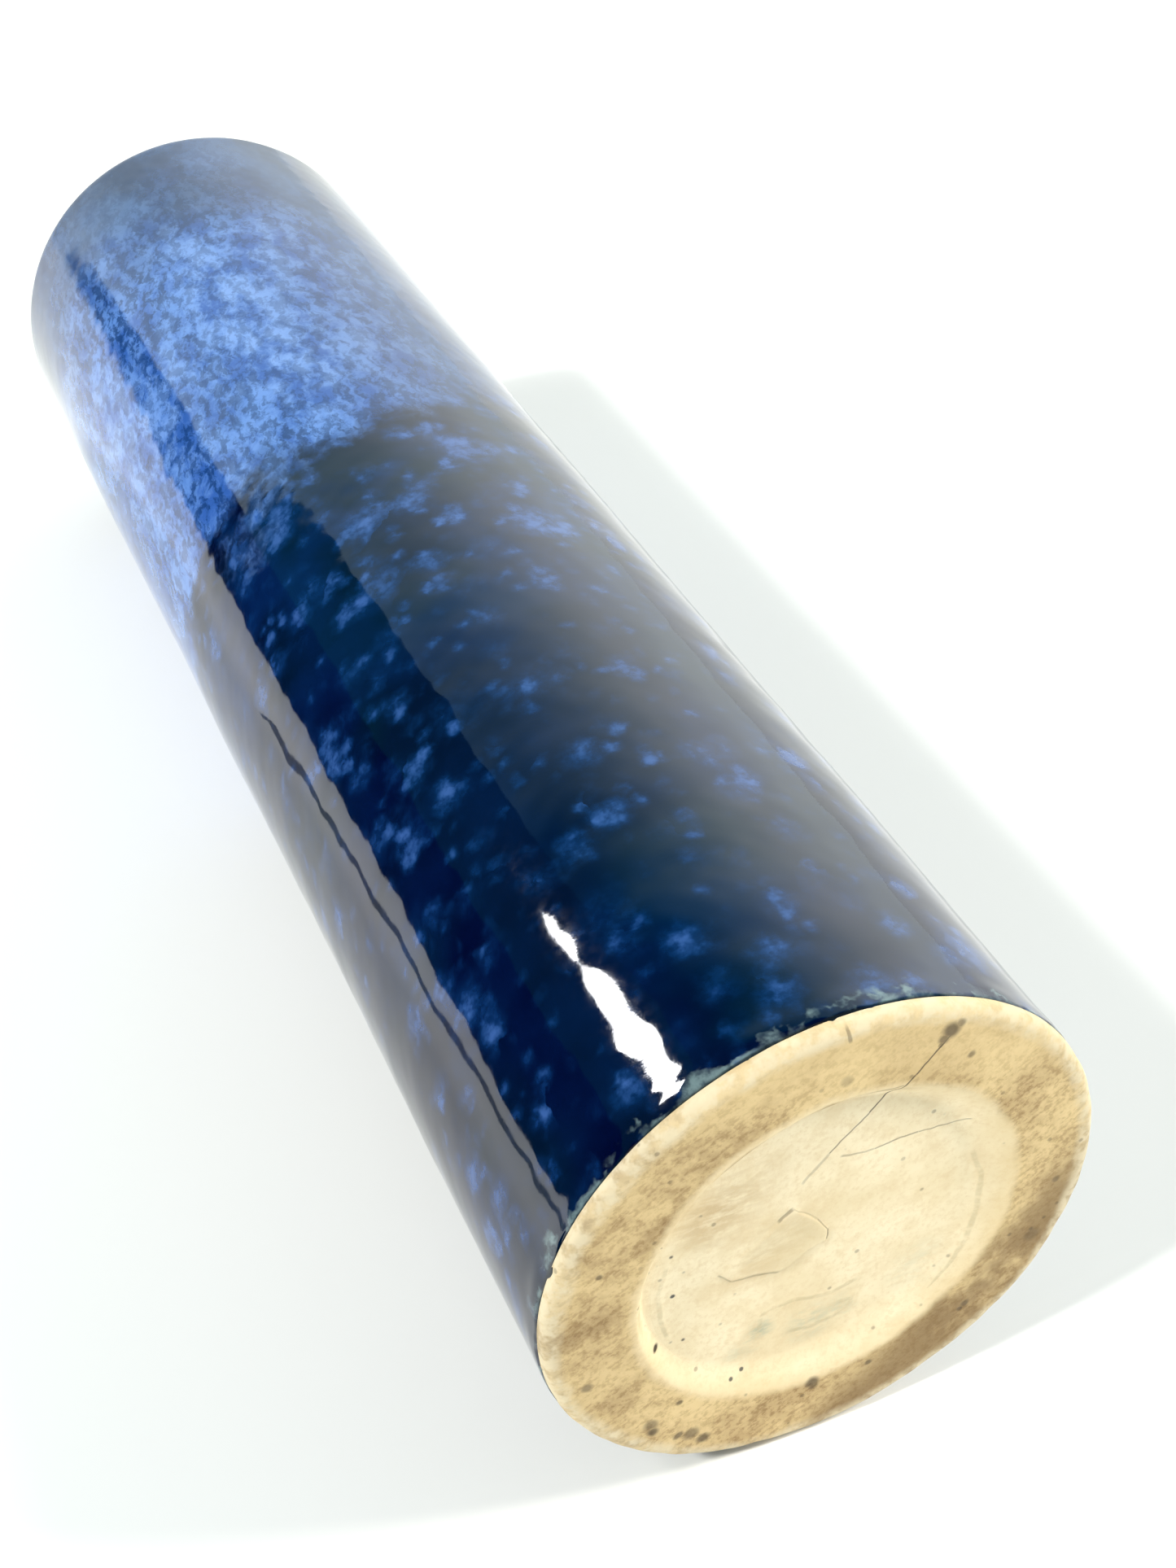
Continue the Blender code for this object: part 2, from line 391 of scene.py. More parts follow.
class Nodes:
    """A material's or world's node tree, with a short call for each kind of node."""

    def __init__(self, name, world=False):
        self.owner = bpy.data.worlds.new(name) if world else bpy.data.materials.new(name)
        self.owner.use_nodes = True
        self.tree = self.owner.node_tree
        self.tree.nodes.clear()
        kind = "World" if world else "Material"
        self.output = self.tree.nodes.new(f"ShaderNodeOutput{kind}")
        self.place = self.tree.nodes.new("ShaderNodeTexCoord")

    def put(self, socket, value):
        if isinstance(value, bpy.types.NodeSocket):
            self.tree.links.new(value, socket)
        elif isinstance(value, (tuple, list)) and len(value) == 3 and socket.type == "RGBA":
            socket.default_value = (*value, 1.0)
        else:
            socket.default_value = value

    def node(self, kind, inputs=None, **settings):
        made = self.tree.nodes.new(kind)
        for key, value in settings.items():
            setattr(made, key, value)
        for key, value in (inputs or {}).items():
            self.put(made.inputs[key], value)
        return made

    def math(self, operation, a, b=0.0):
        return self.node("ShaderNodeMath", {0: a, 1: b}, operation=operation).outputs[0]

    def add(self, a, b):
        return self.math("ADD", a, b)

    def less(self, a, b):
        return self.math("SUBTRACT", a, b)

    def times(self, a, b):
        return self.math("MULTIPLY", a, b)

    def vector(self, operation, a, b=(0.0, 0.0, 0.0)):
        made = self.node("ShaderNodeVectorMath", {0: a, 1: b}, operation=operation)
        return made.outputs["Value" if operation in ("DOT_PRODUCT", "LENGTH") else "Vector"]

    def split(self, vector):
        return self.node("ShaderNodeSeparateXYZ", {0: vector}).outputs

    def step(self, value, low, high, start=0.0, end=1.0):
        """start below low, end above high, and a smooth step between."""
        settings = {"Value": value, "From Min": low, "From Max": high, "To Min": start, "To Max": end}
        made = self.node("ShaderNodeMapRange", settings, interpolation_type="SMOOTHSTEP")
        return made.outputs["Result"]

    def noise(self, place, scale, detail=2.0, rough=0.5):
        """Cloudy noise between 0 and 1, with scale in waves a metre."""
        settings = {"Vector": place, "Scale": scale, "Detail": detail, "Roughness": rough}
        return self.node("ShaderNodeTexNoise", settings).outputs["Fac"]

    def warp(self, place, scale, reach):
        """place, moved about by a noise of that scale and a reach in metres along each axis."""
        settings = {"Vector": place, "Scale": scale, "Detail": 3, "Roughness": 0.6}
        drift = self.node("ShaderNodeTexNoise", settings).outputs["Color"]
        drift = self.vector("SUBTRACT", drift, (0.5, 0.5, 0.5))
        return self.vector("ADD", place, self.vector("MULTIPLY", drift, reach))

    def cells(self, place, scale):
        """Round cells: the distance from each one's middle, and two random numbers for each."""
        made = self.node("ShaderNodeTexVoronoi", {"Vector": place, "Scale": scale}).outputs
        lot = self.node("ShaderNodeSeparateColor", {0: made["Color"]}).outputs
        return made["Distance"], lot[0], lot[1]

    def blend(self, factor, a, b):
        made = self.node("ShaderNodeMix", data_type="RGBA")
        self.put(made.inputs["Factor"], factor)
        self.put(made.inputs[6], a)
        self.put(made.inputs[7], b)
        return made.outputs[2]

    def bump(self, height, distance, under=None):
        """height counts in units of distance, in metres."""
        made = self.node("ShaderNodeBump", {"Height": height, "Distance": distance, "Strength": 1.0})
        if under:
            self.put(made.inputs["Normal"], under)
        return made.outputs[0]

    def surface(self, **inputs):
        shader = self.node("ShaderNodeBsdfPrincipled")
        for key, value in inputs.items():
            self.put(shader.inputs[key.replace("_", " ")], value)
        self.tree.links.new(shader.outputs[0], self.output.inputs["Surface"])
        return self.owner

    def glow(self, kind, colour, strength):
        """A light-giving surface or world."""
        made = self.node(kind, {"Color": colour, "Strength": strength})
        self.tree.links.new(made.outputs[0], self.output.inputs["Surface"])
        return self.owner


# The dark glaze, near the foot
NAVY = (0.0003, 0.0013, 0.017)
TEAL = (0.0004, 0.0050, 0.018)
DEEP_COBALT = (0.001, 0.012, 0.070)
COBALT = (0.003, 0.030, 0.125)
SPOT_PALE = (0.030, 0.083, 0.255)
# Its spots: scale in cells a metre, reach in cells, share of cells left empty, strength
SPOT_LAYERS = (
    (85, 0.64, 0.26, 0.85),
    (150, 0.62, 0.02, 0.90),
    (300, 0.60, 0.08, 0.70),
)
# The pale glaze above it
PERIWINKLE_DEEP = (0.026, 0.088, 0.325)
PERIWINKLE = (0.085, 0.195, 0.500)
PERIWINKLE_LIGHT = (0.170, 0.300, 0.620)
FLECK = (0.004, 0.026, 0.105)
# Painted shade for the pale glaze's right side
PAINTED_SHADE_BLUE = (0.004, 0.016, 0.055)
# The mouth
SLATE = (0.008, 0.016, 0.038)
SLATE_BLUE = (0.030, 0.070, 0.165)
LIP_BROWN = (0.045, 0.040, 0.045)
# The lower edge
MILK = (0.150, 0.215, 0.225)
RIM_DARK = (0.006, 0.010, 0.012)
# Where the zones change, in shares of the length: the pale glaze's start, and the slate at the mouth
PALE_ZONE = (0.508, 0.566)
SLATE_ZONE = (0.80, 1.00)


def navy_glaze(n, place, warped, cloud, near_pale):
    """Opalescent spots in navy: soft round cells of three sizes, each with its own strength."""
    spots = 0.0
    for scale, size, gate, strength in SPOT_LAYERS:
        distance, chance, brightness = n.cells(warped, scale)
        soft = n.step(distance, 0.0, size, 1.0, 0.0)
        open_gate = n.less(gate, n.times(near_pale, 0.30))
        chosen = n.step(chance, open_gate, n.add(open_gate, 0.35))
        level = n.times(n.add(brightness, 0.45), strength)
        spots = n.add(spots, n.times(n.times(soft, chosen), level))
    grain = n.step(n.noise(place, 620, 3, 0.6), 0.28, 0.72, 0.55, 1.20)
    spots = n.times(spots, grain)
    ground = n.blend(n.step(n.noise(place, 34), 0.42, 0.62), NAVY, TEAL)
    depth = n.times(n.step(cloud, 0.40, 0.70), n.add(n.times(near_pale, 0.45), 0.30))
    dark = n.blend(depth, ground, DEEP_COBALT)
    dark = n.blend(n.step(spots, 0.0, 1.15, 0.0, 0.9), dark, COBALT)
    return n.blend(n.step(spots, 0.50, 1.70), dark, SPOT_PALE)


def periwinkle_glaze(n, x, drawn, fleck):
    """Pale mottle drawn out along the vase, with fine dark flecks and painted shade towards the right side.
    """
    patch = n.noise(drawn, 210, 4, 0.65)
    cluster = n.noise(drawn, 60, 3, 0.6)
    pale = n.blend(n.step(patch, 0.36, 0.62), PERIWINKLE_DEEP, PERIWINKLE)
    lightest = n.times(n.step(cluster, 0.34, 0.70), n.step(patch, 0.40, 0.64))
    pale = n.blend(n.times(lightest, 0.75), pale, PERIWINKLE_LIGHT)
    fleck_share = n.step(n.add(n.times(cluster, 0.6), n.times(patch, 0.4)), 0.38, 0.62, 0.80, 0.45)
    pale = n.blend(n.times(fleck, fleck_share), pale, FLECK)
    # Painted shade: darker towards the right side, which the key light reaches less
    thin = n.step(x, -0.50 * RADIUS, 0.70 * RADIUS, 0.0, 0.75)
    return n.blend(thin, pale, PAINTED_SHADE_BLUE)


def mouth_glaze(n, drawn, fleck):
    """Slate with blurred blue streaks."""
    blot = n.step(n.noise(drawn, 95, 3, 0.55), 0.44, 0.66)
    mouth = n.blend(n.times(blot, 0.8), SLATE, SLATE_BLUE)
    return n.blend(n.times(fleck, 0.35), mouth, FLECK)


def with_edges(n, colour, place, warped, cloud, y):
    """The glaze's two ends: milky beads and a dark line at the foot, and a thin brown lip."""
    above = n.less(y, FOOT_Y + COAT_START)
    bead_size = n.step(n.noise(warped, 170, 3, 0.6), 0.38, 0.68, -0.6 * MM, 3.0 * MM)
    bead = n.step(n.less(above, bead_size), -1.2 * MM, 0.6 * MM, 1.0, 0.0)
    milky = n.step(n.noise(place, 700, 3, 0.6), 0.34, 0.66, 0.25, 0.90)
    colour = n.blend(n.times(bead, milky), colour, MILK)
    rim = n.step(above, 0.05 * MM, 0.35 * MM, 1.0, 0.0)
    colour = n.blend(n.times(rim, 0.85), colour, RIM_DARK)
    lip = n.step(y, MOUTH_Y - 3.0 * MM, MOUTH_Y - 0.6 * MM)
    return n.blend(n.times(lip, n.step(cloud, 0.35, 0.65, 0.35, 0.8)), colour, LIP_BROWN)


def glaze_material():
    """Navy with soft cobalt spots near the foot, dense periwinkle mottle above, slate at the mouth."""
    n = Nodes("cobalt_glaze")
    place = n.place.outputs["Object"]
    x, y, _ = n.split(place)
    share = n.math("DIVIDE", n.less(y, FOOT_Y), LENGTH)
    warped = n.warp(place, 300, (3.0 * MM, 3.6 * MM, 3.0 * MM))
    drawn = n.vector("MULTIPLY", warped, (1.0, 0.42, 1.0))
    cloud = n.noise(place, 60, 3, 0.55)
    fleck = n.step(n.noise(drawn, 680, 4, 0.65), 0.41, 0.57, 1.0, 0.0)

    dark = navy_glaze(n, place, warped, cloud, n.step(share, 0.28, 0.52))
    pale = periwinkle_glaze(n, x, drawn, fleck)
    mouth = mouth_glaze(n, drawn, fleck)

    # The zones meet in ragged edges, and the pale one starts a little later on the right
    ragged = n.times(n.less(n.noise(warped, 62, 4, 0.65), 0.5), 0.24)
    later = n.step(x, 0.0, 0.60 * RADIUS, 0.0, 0.05)
    pale_part = n.step(n.less(n.add(share, ragged), later), *PALE_ZONE)
    broad = n.times(n.less(n.noise(place, 24, 3, 0.6), 0.5), 0.34)
    slate_part = n.times(n.step(n.add(share, broad), *SLATE_ZONE), 0.85)
    colour = n.blend(pale_part, dark, pale)
    colour = n.blend(slate_part, colour, mouth)
    colour = with_edges(n, colour, place, warped, cloud, y)

    skin = n.bump(n.noise(place, 700, 3, 0.6), 0.0025 * MM)
    skin = n.bump(n.noise(place, 4200), 0.0012 * MM, skin)
    # Glossy at the foot, and a little less so where the pale glaze crystallised
    rough = n.step(n.noise(place, 900), 0.3, 0.7, 0.03, 0.06)
    rough = n.add(rough, n.step(share, 0.42, 0.95, 0.0, 0.05))
    return n.surface(Base_Color=colour, Roughness=rough, IOR=1.58, Normal=skin)


def liner_material():
    """A dark blue liner glaze, slightly uneven."""
    n = Nodes("liner_glaze")
    place = n.place.outputs["Object"]
    drawn = n.vector("MULTIPLY", place, (1.0, 0.4, 1.0))
    colour = n.blend(n.step(n.noise(place, 45, 4, 0.6), 0.38, 0.66), NAVY, DEEP_COBALT)
    colour = n.blend(n.step(n.noise(drawn, 170, 4, 0.6), 0.50, 0.70, 0.0, 0.55), colour, COBALT)
    skin = n.bump(n.noise(place, 500, 3, 0.6), 0.02 * MM)
    rough = n.step(n.noise(place, 90), 0.3, 0.7, 0.08, 0.16)
    return n.surface(Base_Color=colour, Roughness=rough, IOR=1.5, Normal=skin)


def segment(n, place, start, end, width):
    """1 on a line from start to end in the foot's plane, in radii, fading over width metres."""
    ax, az = start[0] * RADIUS, AXIS_Z + start[1] * RADIUS
    bx, bz = end[0] * RADIUS, AXIS_Z + end[1] * RADIUS
    length = math.hypot(bx - ax, bz - az)
    way = ((bx - ax) / length, 0.0, (bz - az) / length)
    off = n.vector("SUBTRACT", place, (ax, 0.0, az))
    along = n.vector("DOT_PRODUCT", off, way)
    aside = n.math("ABSOLUTE", n.vector("DOT_PRODUCT", off, (-way[2], 0.0, way[0])))
    ends = n.times(n.step(along, -width, width), n.step(along, length - width, length + width, 1.0, 0.0))
    return n.times(n.step(aside, width * 0.35, width, 1.0, 0.0), ends)


def spot(n, place, centre, size, soft):
    """1 inside a round spot in the foot's plane: centre in radii, size in metres."""
    off = n.vector("SUBTRACT", place, (centre[0] * RADIUS, 0.0, AXIS_Z + centre[1] * RADIUS))
    flat = n.vector("MULTIPLY", off, (1.0, 0.0, 1.0))
    return n.step(n.vector("LENGTH", flat), size * soft, size, 1.0, 0.0)


# The foot ring's clay
TAN = (0.470, 0.334, 0.162)
TAN_LIGHT = (0.690, 0.525, 0.272)
TAN_DARK = (0.245, 0.148, 0.060)
BROWN = (0.215, 0.135, 0.058)
EDGE_PALE = (0.690, 0.600, 0.420)
# The recess's clay
CREAM = (0.735, 0.615, 0.400)
CREAM_WARM = (0.660, 0.510, 0.300)
CREAM_LIGHT = (0.830, 0.725, 0.515)
TRAIL = (0.450, 0.370, 0.210)
STAIN_ORANGE = (0.480, 0.325, 0.155)
STAIN_GREY = (0.330, 0.360, 0.270)
# Dark marks on both
MARK = (0.060, 0.042, 0.026)
SPECK = (0.030, 0.035, 0.045)
# The crease at the recess's edge, where shade is painted, in radii
CREASE = 0.662

# Marks of firing and wear on the foot, and two painted shade lines. Places are in radii from its centre, x to
# the right and z up.
# Cracks, and painted shade lines where the recess's upper wall is in shade: their ends, width in mm, strength
CRACKS_AND_SHADE_LINES = (
    ((0.343, 0.820), (0.235, 0.690), 0.18, 0.80),
    ((0.235, 0.690), (0.115, 0.530), 0.16, 0.80),
    ((0.115, 0.530), (-0.015, 0.400), 0.18, 0.60),
    ((-0.015, 0.400), (-0.100, 0.300), 0.30, 0.30),
    ((0.028, 0.369), (0.150, 0.352), 0.22, 0.35),
    ((0.150, 0.352), (0.312, 0.361), 0.18, 0.50),
    ((0.312, 0.361), (0.497, 0.347), 0.14, 0.45),
    ((-0.176, 0.156), (-0.125, 0.200), 0.30, 0.50),
    ((-0.125, 0.200), (-0.030, 0.100), 0.14, 0.25),
    ((-0.030, 0.100), (0.006, 0.035), 0.12, 0.45),
    ((0.006, 0.035), (0.008, -0.020), 0.18, 0.60),
    ((0.008, -0.020), (-0.060, -0.040), 0.14, 0.40),
    ((-0.375, 0.000), (-0.330, -0.055), 0.22, 0.30),
    ((-0.330, -0.055), (-0.156, -0.094), 0.22, 0.28),
    ((-0.535, 0.375), (-0.500, 0.425), 0.30, 0.95),
    ((-0.440, 0.480), (-0.395, 0.520), 0.22, 0.85),
    # Painted shade: these two are thin dark lines along the recess's upper edge, where its wall lies in shade
    ((-0.330, 0.560), (-0.180, 0.625), 0.14, 0.45),
    ((-0.050, 0.655), (0.200, 0.655), 0.14, 0.40),
    ((-0.020, 0.985), (-0.010, 0.930), 0.30, 0.50),
)
# Centre, size in mm, strength
DARK_SPOTS = (
    ((0.343, 0.838), 1.6, 0.80),
    ((0.318, 0.808), 1.0, 0.70),
    ((0.375, 0.855), 0.9, 0.60),
    ((-0.594, -0.239), 0.6, 1.00),
    ((-0.804, 0.260), 0.6, 0.70),
    ((-0.015, -0.715), 1.3, 0.75),
    ((-0.010, -0.735), 1.0, 0.60),
    ((-0.844, -0.274), 0.9, 0.60),
    ((-0.515, -0.530), 0.6, 0.70),
    ((-0.620, -0.600), 1.3, 0.60),
    ((-0.614, -0.640), 1.0, 0.80),
    ((-0.466, -0.737), 1.5, 0.65),
    ((-0.424, -0.789), 1.2, 0.75),
    ((-0.517, -0.718), 0.9, 0.70),
    ((0.207, -0.723), 0.7, 0.65),
    ((0.576, -0.581), 0.9, 0.60),
    ((0.560, -0.605), 0.6, 0.60),
    ((0.869, -0.084), 0.8, 0.50),
    ((0.812, -0.340), 1.5, 0.35),
    ((0.431, 0.697), 0.7, 0.60),
    ((-0.010, 0.760), 1.2, 0.35),
)
# Stains on the recess floor: centre, size in mm, colour, strength
STAINS = (
    ((-0.38, 0.27), 7.5, STAIN_ORANGE, 0.45),
    ((-0.28, 0.42), 8.0, STAIN_ORANGE, 0.30),
    ((-0.25, -0.05), 6.0, STAIN_ORANGE, 0.22),
    ((-0.19, 0.06), 8.5, STAIN_ORANGE, 0.30),
    ((-0.45, 0.30), 6.0, STAIN_ORANGE, 0.40),
    ((-0.21, -0.37), 2.8, STAIN_GREY, 0.75),
    ((-0.28, -0.45), 3.2, STAIN_GREY, 0.35),
    ((-0.02, -0.43), 4.5, STAIN_GREY, 0.45),
    ((0.10, -0.40), 3.0, STAIN_GREY, 0.40),
    ((0.38, -0.33), 6.0, STAIN_GREY, 0.22),
)
# Crowds of dark specks: centre, size in mm
SPECK_CROWDS = (
    ((0.19, 0.43), 3.0),
    ((0.31, 0.48), 1.2),
    ((-0.45, 0.08), 2.4),
    ((-0.58, -0.06), 3.0),
    ((-0.57, 0.20), 2.8),
    ((-0.50, -0.30), 2.2),
    ((-0.31, -0.53), 2.6),
    ((-0.44, 0.36), 2.0),
)
# The stained patch round the flake: centre in radii, size in mm
FLAKE_PATCH = ((-0.15, 0.03), 6.5)


def cream_clay(n, place, marked, streaky):
    """Smooth cream clay in the recess, with streaky stains."""
    cream = n.blend(n.step(n.noise(place, 70, 4, 0.6), 0.36, 0.64), CREAM, CREAM_LIGHT)
    for centre, size, tone, strength in STAINS:
        mask = n.times(spot(n, marked, centre, size * MM, 0.15), n.step(streaky, 0.34, 0.62, 0.1, 1.0))
        cream = n.blend(n.times(mask, strength), cream, tone)
    pores = n.noise(place, 1300, 4, 0.7)
    cream = n.blend(n.step(pores, 0.46, 0.66, 0.0, 0.40), cream, CREAM_WARM)
    blotch = n.step(n.noise(marked, 260, 4, 0.65), 0.48, 0.66, 0.0, 0.35)
    return n.blend(blotch, cream, CREAM_WARM)


def tan_clay(n, place, centred, grain, streak):
    """Sanded tan clay on the ring: darker at the left, lighter at the top, scorched at the lower right."""
    cloudy = n.noise(place, 95, 5, 0.68)
    tan = n.blend(n.step(cloudy, 0.36, 0.64), TAN, TAN_LIGHT)
    worn = n.step(n.add(n.times(grain, 0.60), n.times(streak, 0.40)), 0.46, 0.60)
    tan = n.blend(n.times(worn, n.step(cloudy, 0.34, 0.62, 0.75, 0.35)), tan, TAN_DARK)
    leftward = n.vector("DOT_PRODUCT", centred, (-0.95, 0.0, 0.30))
    toasted = n.times(n.step(leftward, 8 * MM, 24 * MM), n.step(cloudy, 0.30, 0.60, 0.50, 0.15))
    tan = n.blend(toasted, tan, BROWN)
    upward = n.vector("DOT_PRODUCT", centred, (0.25, 0.0, 0.97))
    tan = n.blend(n.step(upward, 20 * MM, 29 * MM, 0.0, 0.55), tan, TAN_LIGHT)
    lower = n.vector("DOT_PRODUCT", centred, (0.72, 0.0, -0.70))
    scorch = n.times(n.step(lower, 18 * MM, 27 * MM), n.step(n.noise(place, 80, 4, 0.65), 0.32, 0.54))
    return n.blend(n.times(scorch, 0.80), tan, BROWN)


def foot_zones(n, place, centred, cream, tan):
    """Cream inside and tan outside, with a sloping border, painted shade in the crease and a paler worn edge.
    """
    radius = n.vector("LENGTH", n.vector("MULTIPLY", centred, (1.0, 0.0, 1.0)))
    wobble = n.times(n.less(n.noise(place, 120, 4, 0.6), 0.5), 2.6 * MM)
    spread = n.add(radius, wobble)
    slope = n.step(spread, RADIUS * 0.585, RADIUS * 0.690, 0.0, 0.40)
    colour = n.blend(slope, cream, TAN_LIGHT)
    colour = n.blend(n.step(spread, RADIUS * 0.672, RADIUS * 0.722), colour, tan)
    far_out = n.step(spread, RADIUS * 0.915, RADIUS * 0.965)
    dabs = n.step(n.noise(place, 420, 3, 0.6), 0.40, 0.62, 1.0, 0.35)
    colour = n.blend(n.times(n.times(far_out, dabs), 0.85), colour, EDGE_PALE)
    # Painted shade in the crease at the recess's edge, mostly at the upper left, where its wall faces away
    # from the key light
    crease = n.step(n.math("ABSOLUTE", n.less(spread, RADIUS * CREASE)), 0.1 * MM, 0.7 * MM, 1.0, 0.0)
    upper = n.step(n.vector("DOT_PRODUCT", centred, (-0.62, 0.0, 0.78)), 8 * MM, 20 * MM)
    patchy = n.step(n.noise(place, 230, 3, 0.6), 0.38, 0.60, 0.25, 1.0)
    painted_crease_shade = n.times(n.times(crease, upper), patchy)
    return n.blend(n.times(painted_crease_shade, 0.65), colour, TAN_DARK)


def with_specks(n, colour, place, marked, drawn_here):
    """Dark specks: a few anywhere, and crowds of them in the recess."""
    distance, chance, _ = n.cells(place, 640)
    dot = n.step(distance, 0.12, 0.26, 1.0, 0.0)
    colour = n.blend(n.times(n.times(dot, n.step(chance, 0.93, 0.95)), 0.45), colour, MARK)
    for centre, size in SPECK_CROWDS:
        if drawn_here(centre):
            crowd = n.times(spot(n, marked, centre, size * MM, 0.7), n.times(dot, n.step(chance, 0.66, 0.72)))
            colour = n.blend(n.times(crowd, 0.85), colour, SPECK)
    return colour


def with_trails(n, colour, marked, streaky):
    """The finger trails and the flake, a little darker than the clay round them."""
    trails = 0.0
    for points, width, _ in STAINED_TRAILS:
        for start, end in zip(points, points[1:]):
            trails = n.math("MAXIMUM", trails, segment(n, marked, start, end, width * MM))
    trails = n.times(trails, n.step(streaky, 0.36, 0.60, 0.12, 0.42))
    colour = n.blend(trails, colour, TRAIL)
    centre, size = FLAKE_PATCH
    return n.blend(n.times(spot(n, marked, centre, size * MM, 0.45), 0.22), colour, TRAIL)


def marks_and_shade_lines(n, marked, drawn_here):
    """The strength, from 0 to 1, of the cracks, the painted shade lines and the dark spots."""
    marks = 0.0
    for start, end, width, strength in CRACKS_AND_SHADE_LINES:
        if drawn_here(((start[0] + end[0]) / 2, (start[1] + end[1]) / 2)):
            marks = n.math("MAXIMUM", marks, n.times(segment(n, marked, start, end, width * MM), strength))
    for centre, size, strength in DARK_SPOTS:
        if drawn_here(centre):
            marks = n.math("MAXIMUM", marks, n.times(spot(n, marked, centre, size * MM, 0.35), strength))
    return marks


def foot_material(name, inner, outer):
    """Bare stoneware: a cream recess inside a sanded tan ring with a paler worn edge.

    Only the marks that lie between the radii inner and outer are drawn.
    """
    n = Nodes(name)
    place = n.place.outputs["Object"]
    centred = n.vector("SUBTRACT", place, (0.0, 0.0, AXIS_Z))
    marked = n.warp(place, 150, (1.4 * MM, 0.0, 1.4 * MM))
    streaky = n.noise(n.vector("MULTIPLY", marked, (0.7, 1.0, 2.0)), 330, 4, 0.65)
    # Sanding marks run one way across the foot
    along = n.vector("DOT_PRODUCT", centred, (0.85, 0.0, 0.53))
    across = n.vector("DOT_PRODUCT", centred, (-0.53, 0.0, 0.85))
    strokes = n.node("ShaderNodeCombineXYZ", {0: n.times(along, 0.25), 2: across}).outputs[0]
    streak = n.noise(strokes, 1900, 3, 0.6)
    grain = n.noise(place, 1150, 4, 0.7)

    def drawn_here(centre):
        return inner <= math.hypot(*centre) <= outer

    cream = cream_clay(n, place, marked, streaky)
    tan = tan_clay(n, place, centred, grain, streak)
    colour = foot_zones(n, place, centred, cream, tan)
    colour = with_specks(n, colour, place, marked, drawn_here)
    if inner == 0:
        colour = with_trails(n, colour, marked, streaky)
    marks = marks_and_shade_lines(n, marked, drawn_here)
    colour = n.blend(marks, colour, MARK)

    height = n.add(n.times(grain, 0.6), n.times(streak, 0.4))
    skin = n.bump(n.less(height, marks), 0.05 * MM)
    rough = n.step(grain, 0.3, 0.7, 0.70, 0.90)
    return n.surface(Base_Color=colour, Roughness=rough, IOR=1.45, Normal=skin)


PAPER = (0.845, 0.850, 0.835)
PAPER_LIGHT = (0.875, 0.875, 0.860)


def floor_material():
    """Matt white paper with a faint unevenness."""
    n = Nodes("white_floor")
    place = n.place.outputs["Object"]
    colour = n.blend(n.noise(place, 6, 3), PAPER, PAPER_LIGHT)
    rough = n.step(n.noise(place, 220), 0.3, 0.7, 0.75, 0.9)
    return n.surface(Base_Color=colour, Roughness=rough)


def glowing(name, colour, strength=1.0):
    """A surface that gives light and has no other look."""
    return Nodes(name).glow("ShaderNodeEmission", colour, strength)


# ---------------------------------------------------------------- stage, lights and camera


def round_stage(name, rings, material, columns=64):
    """A stage mesh of rings about the vertical axis, each (radius, height). The first is a point."""
    verts = [(0.0, 0.0, rings[0][1])]
    for radius, height in rings[1:]:
        for step in range(columns):
            angle = TAU * step / columns
            verts.append((radius * math.cos(angle), radius * math.sin(angle), height))
    faces = [(0, 1 + step, 1 + (step + 1) % columns) for step in range(columns)]
    for row in range(len(rings) - 2):
        start = 1 + row * columns
        for step in range(columns):
            near = (step + 1) % columns
            faces.append((start + step, start + columns + step, start + columns + near, start + near))
    made = mesh_object(name, verts, faces, material)
    return made


def only_seen_by(made, **rays):
    """Hide a stage object from every kind of ray but the ones named."""
    for kind in ("camera", "diffuse", "glossy", "shadow", "transmission", "volume_scatter"):
        setattr(made, f"visible_{kind}", rays.get(kind, False))


def floor():
    """A plain white floor, wider than any view of it."""
    radii = (0.0, 0.25, 0.6, 1.4, 3.5, 9.0, 25.0)
    round_stage("floor", [(radius, 0.0) for radius in radii], floor_material())


def backdrop():
    """A plain white dome over the floor, behind the vase in low views."""
    radius, steps = 8.0, 12
    leans = [math.pi / 2 * step / steps for step in range(steps + 1)]
    rings = [(radius * math.sin(lean), radius * math.cos(lean)) for lean in leans]
    dome = round_stage("backdrop", rings, glowing("white_backdrop", (1.0, 1.0, 1.0), 1.3))
    only_seen_by(dome, camera=True)


def card(name, corners, colour):
    """A studio card that only reflections see. Corners are in vase radii, colour is its radiance."""
    verts = [tuple(RADIUS * value for value in corner) for corner in corners]
    made = mesh_object(name, verts, [(0, 1, 2, 3)], glowing(name, colour))
    only_seen_by(made, glossy=True)


def cards():
    """Dark cards on the left, which put the dark band between two pale reflections."""

    def stand(along, height):
        """A point of the cards' common plane, at a place along the vase and a height."""
        return (-5.5 - 0.1088 * (along + 12.0), along, height)

    low = (stand(-12.0, 0.0), stand(11.0, 0.0), stand(11.0, 4.2), stand(-12.0, 4.2))
    card("card_low", low, (0.0, 0.008, 0.020))
    middle = (stand(11.0, 0.0), stand(16.3, 1.2), stand(16.3, 5.0), stand(11.0, 4.2))
    card("card_middle", middle, (0.0, 0.012, 0.030))
    far = (stand(16.3, 1.2), stand(20.8, 2.5), stand(20.4, 4.6), stand(16.3, 5.0))
    card("card_far", far, (0.0, 0.020, 0.040))
    high = (stand(-12.0, 4.2), stand(12.2, 4.2), stand(20.2, 13.1), stand(-12.0, 15.5))
    card("card_high", high, (0.006, 0.090, 0.085))
    # A lead on the floor, whose reflection is the thin dark line along the left side
    lead = ((-3.36, 2.68, 0.02), (-5.97, -0.43, 0.02), (-5.30, -0.92, 0.02), (-2.84, 2.32, 0.02))
    card("card_lead", lead, (0.28, 0.32, 0.32))


# The sky's red, green and blue: where each starts, where it is full, its least and its most
SKY = (
    (-0.48, 0.40, 0.000, 1.85),
    (-0.60, 0.38, 0.005, 2.00),
    (-0.66, 0.38, 0.010, 1.96),
)


